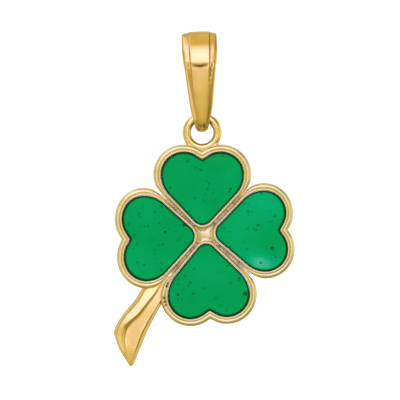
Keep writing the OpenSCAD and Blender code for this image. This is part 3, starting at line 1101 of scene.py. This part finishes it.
# Stem section: share of the way from the right edge to the crest (0 to 1) or from the crest
# to the left edge (1 to 2), its height as a share of the crest's where the right face is
# hollow and where it is not, and how much darker it is painted there, in the grooves by its edges
STEM_SHAPE = (
    (0.00, 0.00, 0.00, 0.0),
    (0.00, 0.30, 0.30, 0.0),
    (0.01, 0.42, 0.42, 0.0),
    (0.03, 0.56, 0.60, 0.0),
    (0.06, 0.68, 0.76, 0.0),
    (0.085, 0.735, 0.85, 0.3),
    (0.10, 0.74, 0.87, 0.5),
    (0.12, 0.760, 0.90, 0.2),
    (0.16, 0.768, 0.905, 0.0),
    (0.30, 0.775, 0.91, 0.0),
    (0.45, 0.785, 0.923, 0.0),
    (0.60, 0.795, 0.936, 0.0),
    (0.72, 0.805, 0.948, 0.0),
    (0.80, 0.815, 0.957, 0.0),
    (0.86, 0.835, 0.967, 0.0),
    (0.91, 0.885, 0.977, 0.0),
    (0.95, 0.955, 0.987, 0.0),
    (0.98, 0.99, 0.996, 0.0),
    (1.01, 1.00, 1.00, 0.0),
    (1.08, 0.985, 0.985, 0.0),
    (1.25, 0.950, 0.950, 0.0),
    (1.45, 0.915, 0.915, 0.0),
    (1.70, 0.880, 0.880, 0.0),
    (1.78, 0.860, 0.860, 0.1),
    (1.82, 0.835, 0.835, 0.45),
    (1.85, 0.835, 0.835, 0.45),
    (1.89, 0.79, 0.79, 0.0),
    (1.94, 0.68, 0.68, 0.0),
    (1.98, 0.54, 0.54, 0.0),
    (2.00, 0.40, 0.40, 0.0),
    (2.00, 0.25, 0.25, 0.0),
    (2.00, 0.00, 0.00, 0.0),
)


def smooth_rows(rows, steps):
    """Runs smooth curves through the rows of a table, by their first column."""
    table = np.array(rows)
    knots = table[:, 0]
    slopes = np.gradient(table, knots, axis=0)
    result = []
    for place in np.linspace(knots[0], knots[-1], steps + 1):
        i = min(int(np.searchsorted(knots, place, side="right")) - 1, len(knots) - 2)
        width = knots[i + 1] - knots[i]
        t = (place - knots[i]) / width
        start = (1 + 2 * t) * (1 - t) ** 2 * table[i] + t * (1 - t) ** 2 * width * slopes[i]
        end = t * t * (3 - 2 * t) * table[i + 1] + t * t * (t - 1) * width * slopes[i + 1]
        result.append(start + end)
    return result


def stem_mesh():
    """The stem's section at each step along it: vertices, faces and darkening."""
    along_way = way_out(STEM_HEADING)
    leftwards = np.array([along_way[1], -along_way[0]])
    vertices, darknesses = [], []
    for row in smooth_rows(STEM_SECTIONS, STEM_STEPS):
        along, right, crest, left, rise, hollow, flare = row
        ease = max(clamp((left - crest) / LEFT_FACE), LEFT_LEAST_DROP)
        for share, cut, full, darkness in STEM_SHAPE:
            if share > 1:
                across = crest + (share - 1) * (left - crest)
                firm = clamp((FIRM_FROM - full) / FIRM_REACH)
                up = 1 - (1 - full) * (ease + (1 - ease) * firm)
            else:
                across = right + share * (crest - right)
                up = full + (cut - full) * clamp(hollow)
            spread = flare * STEM_SPREAD * max(0.0, 1 - up / STEM_EDGE_UP)
            across_mm = across * STEM_WIDTH + (spread if share > 1 else -spread)
            spot = along * STEM_LENGTH * along_way + across_mm * leftwards
            y = FRAME_THICK / 2 - STEM_BACK - up * rise * STEM_THICK
            vertices.append((STEM_ROOT[0] + spot[0], y, CLOVER_Z + STEM_ROOT[1] + spot[1]))
            # How much darker this point is painted, in the grooves along the edges
            darknesses.append(darkness)
    return vertices, bar_faces(vertices, len(STEM_SHAPE)), darknesses


vertices, faces, darknesses = stem_mesh()
stem_gold = gold("stem gold", (0.98, 0.68, 0.145, 1), roughness=0.16, scratch=1.2e-6)
stem = new_piece("stem", vertices, faces, stem_gold, "clover")
add_values(stem, "darkening", darknesses)
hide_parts("clover_frame")

# Enamel
# Translucent green resin enamel, poured into each open heart and cured. It climbs the wall a
# little at its edge, and air bubbles stayed in it, most of them small as pinpricks.
ENAMEL_RISE = 1.12
ENAMEL_BACK = 0.12
ENAMEL_GAP = 0.02
EDGE_STEPS = (0, 0.02, 0.05, 0.09, 0.14, 0.20, 0.30, 0.44)
INNER_STEP = 0.2
INNER_RINGS = 12
HUB_BACK = 0.55
CLIMB = 0.002
CLIMB_REACH = 0.05
WAVE_HEIGHT = 0.004
WAVE_SIZE = 1.6
BUBBLES_PER_MM2 = 1.0
BUBBLE_SMALL = 0.060
BUBBLE_LARGE = 0.115
BUBBLE_FLAT = 0.42
BUBBLE_MARGIN = 0.20
BUBBLE_GAP = 0.01
BUBBLE_POINTS = 42
BUBBLE_SEEDS = {"right": 4, "top": 11, "left": 23, "bottom": 37}
BALL_ROUNDS = 20
BALL_BANDS = 12
# What the enamel's attribute from_wall says on a bubble: more than any real distance
CAVITY = 9.0
# Large bubbles: how deep they lie, then for each its place across and up from the clover's
# middle, and its radius
LARGE_DEPTH = 0.25
LARGE_BUBBLES = {
    "right": ((4.98, -1.19, 0.145), (4.08, -2.24, 0.095)),
    "top": (),
    "left": ((-1.57, 0.77, 0.125), (-3.02, 0.26, 0.11)),
    "bottom": ((2.84, -4.52, 0.16), (-2.20, -4.43, 0.10)),
}
# Painted sheen: soft reflections painted into the enamel's colour as lighter places: place
# across and up from the clover's middle, reach and strength, where 1 is a faint sheen and 2 a
# pale bright patch
SHEEN_SPOTS = {
    "right": (
        (4.4, 2.4, 1.4, 0.9),
        (2.8, 0.8, 1.6, 0.35),
        (3.3, -1.9, 0.8, 0.75),
        (4.1, -2.3, 0.65, 1.2),
        (4.8, -2.5, 0.6, 0.7),
        (5.4, -2.1, 0.7, 0.4),
    ),
    "top": ((1.9, 4.2, 0.8, 0.30),),
    "left": (),
    "bottom": (),
}
SHEEN_SWING = 0.35
SHEEN_PATCH = 0.7
SHEEN_SEED = 2.4
GREEN = (0.0003, 0.300, 0.072, 1)
LIGHT_GREEN = (0.0004, 0.345, 0.090, 1)
SHEEN_GREEN = (0.0012, 0.40, 0.158, 1)
BRIGHT_SHEEN_GREEN = (0.055, 0.48, 0.28, 1)
WALL_SHADE = (0.004, 0.028, 0.002, 1)
CLEAR = (0.80, 0.92, 0.86, 1)


def enamel_sheet():
    """A heart as flat points with faces: rings that step in from the wall, then shrink."""
    rings = [leaf_outline(-ENAMEL_GAP - step, -ENAMEL_GAP - step) for step in EDGE_STEPS]
    middle = np.array([WIDE_U - HUB_BACK, 0])
    inner = rings[-1]
    for i in range(1, INNER_RINGS):
        rings.append(middle + (inner - middle) * (1 - i / INNER_RINGS))
    count = len(inner)
    depth = [step for step in EDGE_STEPS for _ in range(count)]
    depth += [EDGE_STEPS[-1] + INNER_STEP] * (count * (INNER_RINGS - 1) + 1)
    faces = []
    for r in range(len(rings) - 1):
        for i in range(count):
            j = (i + 1) % count
            a = r * count
            faces.append((a + i, a + j, a + count + j, a + count + i))
    last = (len(rings) - 1) * count
    hub = last + count
    faces += [(last + i, last + (i + 1) % count, hub) for i in range(count)]
    return np.concatenate(rings + [[middle]]), np.array(depth), faces


def green_enamel(name):
    """Clear green resin, with painted shade along the wall and painted sheen in places, and
    colourless bubbles.
    """
    material, board = new_material(name)
    wall = board.stored("from_wall")
    sheen = board.stored("sheen")
    cloud = board.noise((320, 320, 320), 2)
    green = board.blend(cloud.step(0.3, 0.7), GREEN, LIGHT_GREEN)
    # Painted sheen: soft reflections painted in as lighter, paler green
    sheened = board.blend(sheen, green, SHEEN_GREEN)
    sheened = board.blend(sheen.step(0.9, 2.0), sheened, BRIGHT_SHEEN_GREEN)
    tone = board.blend(wall.step(0.055, 0.210), WALL_SHADE, sheened)
    board.surface(
        {
            "Base Color": board.blend(wall.step(1.0, CAVITY), tone, CLEAR),
            "Roughness": 0.04,
            "IOR": 1.5,
            "Transmission Weight": 1.0,
        }
    )
    return material


enamel_green = green_enamel("green enamel")
board = GrowingBoard(
    "air bubbles",
    {
        "Geometry": "Geometry",
        "Per square metre": "Float",
        "Smallest": "Float",
        "Largest": "Float",
        "Depth spread": "Float",
        "Flatness": "Float",
        "Seed": "Int",
    },
)
seed = board.given("Seed")
specks = board.node(
    "GeometryNodeDistributePointsOnFaces",
    {},
    {"Mesh": board.given("Geometry"), "Density": board.given("Per square metre"), "Seed": seed},
)
spread = board.given("Depth spread")
random = "FunctionNodeRandomValue"
kind = {"data_type": "FLOAT"}
depth_pick = board.node(random, kind, {"Seed": seed, 2: 0 - spread, 3: spread}, out=1)
shift = board.node("ShaderNodeCombineXYZ", {}, {"Y": depth_pick})
placed = board.node("GeometryNodeSetPosition", {}, {"Geometry": specks, "Offset": shift})
ball = board.node("GeometryNodeMeshIcoSphere", {}, {"Radius": 1.0, "Subdivisions": 2})
hollow = board.node("GeometryNodeFlipFaces", {}, {"Mesh": ball})
evenly = board.node(random, kind, {"Seed": seed + 7}, out=1)
smallest = board.given("Smallest")
size = smallest + (board.given("Largest") - smallest) * evenly * evenly
thin = size * board.given("Flatness")
pressed = board.node("ShaderNodeCombineXYZ", {}, {"X": size, "Y": thin, "Z": size})
inputs = {"Points": placed, "Instance": hollow, "Scale": pressed}
board.finish(board.node("GeometryNodeInstanceOnPoints", {}, inputs), enamel_green)


def ball_mesh(middle, radius):
    """A round cavity: a ball whose faces point to its middle."""
    points = [middle + np.array([0, 0, radius]), middle - np.array([0, 0, radius])]
    for band in range(1, BALL_BANDS):
        tilt = math.pi * band / BALL_BANDS
        for k in range(BALL_ROUNDS):
            flat = way_out(2 * math.pi * k / BALL_ROUNDS) * math.sin(tilt)
            points.append(middle + radius * np.array([flat[0], flat[1], math.cos(tilt)]))
    faces = []
    end = 2 + (BALL_BANDS - 2) * BALL_ROUNDS
    for k in range(BALL_ROUNDS):
        after = (k + 1) % BALL_ROUNDS
        faces.append((0, 2 + after, 2 + k))
        faces.append((1, end + k, end + after))
        for a in range(2, end, BALL_ROUNDS):
            b = a + BALL_ROUNDS
            faces.append((a + k, a + after, b + after, b + k))
    return points, faces


def apart(centres, radii, middle, radius):
    """Whether a bubble keeps clear of all the earlier ones."""
    gaps = [np.linalg.norm(middle - c) - r - radius for c, r in zip(centres, radii)]
    return all(gap > BUBBLE_GAP for gap in gaps)


flat, depth, sheet_faces = enamel_sheet()
middle_rise = (ENAMEL_RISE + ENAMEL_BACK) / 2
inner_rise = (ENAMEL_RISE - ENAMEL_BACK) / 2
for name in LEAVES:
    front = ENAMEL_RISE + CLIMB * np.exp(-depth / CLIMB_REACH)
    front = front + WAVE_HEIGHT * grain(flat, WAVE_SIZE, LEAVES[name][0])
    rise = np.concatenate([front, np.full(len(flat), ENAMEL_BACK)])
    vertices = on_leaf(name, np.concatenate([flat, flat]), rise)
    faces = plate_faces(sheet_faces, len(flat))
    wall_values = [np.concatenate([depth, depth])]

    sheet = bpy.data.meshes.new("bubble sheet")
    inside = [face for face in sheet_faces if min(depth[list(face)]) >= BUBBLE_MARGIN]
    plane = on_leaf(name, flat, middle_rise)
    sheet.from_pydata([tuple(v * MM) for v in plane], [], inside)
    bubble_points, bubble_faces = grown(
        board.tree,
        sheet,
        {
            "Per square metre": BUBBLES_PER_MM2 / MM**2,
            "Smallest": BUBBLE_SMALL * MM,
            "Largest": BUBBLE_LARGE * MM,
            "Depth spread": (inner_rise - 2 * BUBBLE_LARGE) * MM,
            "Flatness": BUBBLE_FLAT,
            "Seed": BUBBLE_SEEDS[name],
        },
    )
    cavities, centres, radii = [], [], []
    for x, z, radius in LARGE_BUBBLES[name]:
        middle = np.array([x, FRAME_THICK / 2 - ENAMEL_RISE + LARGE_DEPTH, CLOVER_Z + z])
        cavities.append(ball_mesh(middle, radius))
        centres.append(middle)
        radii.append(radius)
    for start in range(0, len(bubble_points), BUBBLE_POINTS):
        points = bubble_points[start : start + BUBBLE_POINTS]
        middle = points.mean(axis=0)
        radius = np.linalg.norm(points[0] - middle)
        if apart(centres, radii, middle, radius):
            own = range(start, start + BUBBLE_POINTS)
            part = [tuple(i - start for i in face) for face in bubble_faces if face[0] in own]
            cavities.append((points, part))
            centres.append(middle)
            radii.append(radius)
    for points, part in cavities:
        first = len(vertices)
        vertices = np.concatenate([vertices, points])
        faces += [tuple(i + first for i in face) for face in part]
        wall_values.append(np.full(len(points), CAVITY))

    fill = new_piece("fill_" + name, vertices, faces, enamel_green, "clover")
    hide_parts("enamel_" + name)
    add_values(fill, "from_wall", np.concatenate(wall_values))
    # Painted sheen: how strongly a soft reflection is painted in at each point
    sheen_amount = np.zeros(len(vertices))
    for x, z, reach, strength in SHEEN_SPOTS[name]:
        away = (vertices[:, 0] - x) ** 2 + (vertices[:, 2] - CLOVER_Z - z) ** 2
        sheen_amount += strength * np.exp(-away / reach**2)
    uneven = 1 + SHEEN_SWING * grain(vertices[:, ::2], SHEEN_PATCH, SHEEN_SEED)
    add_values(fill, "sheen", np.clip(sheen_amount * uneven, 0, 2))
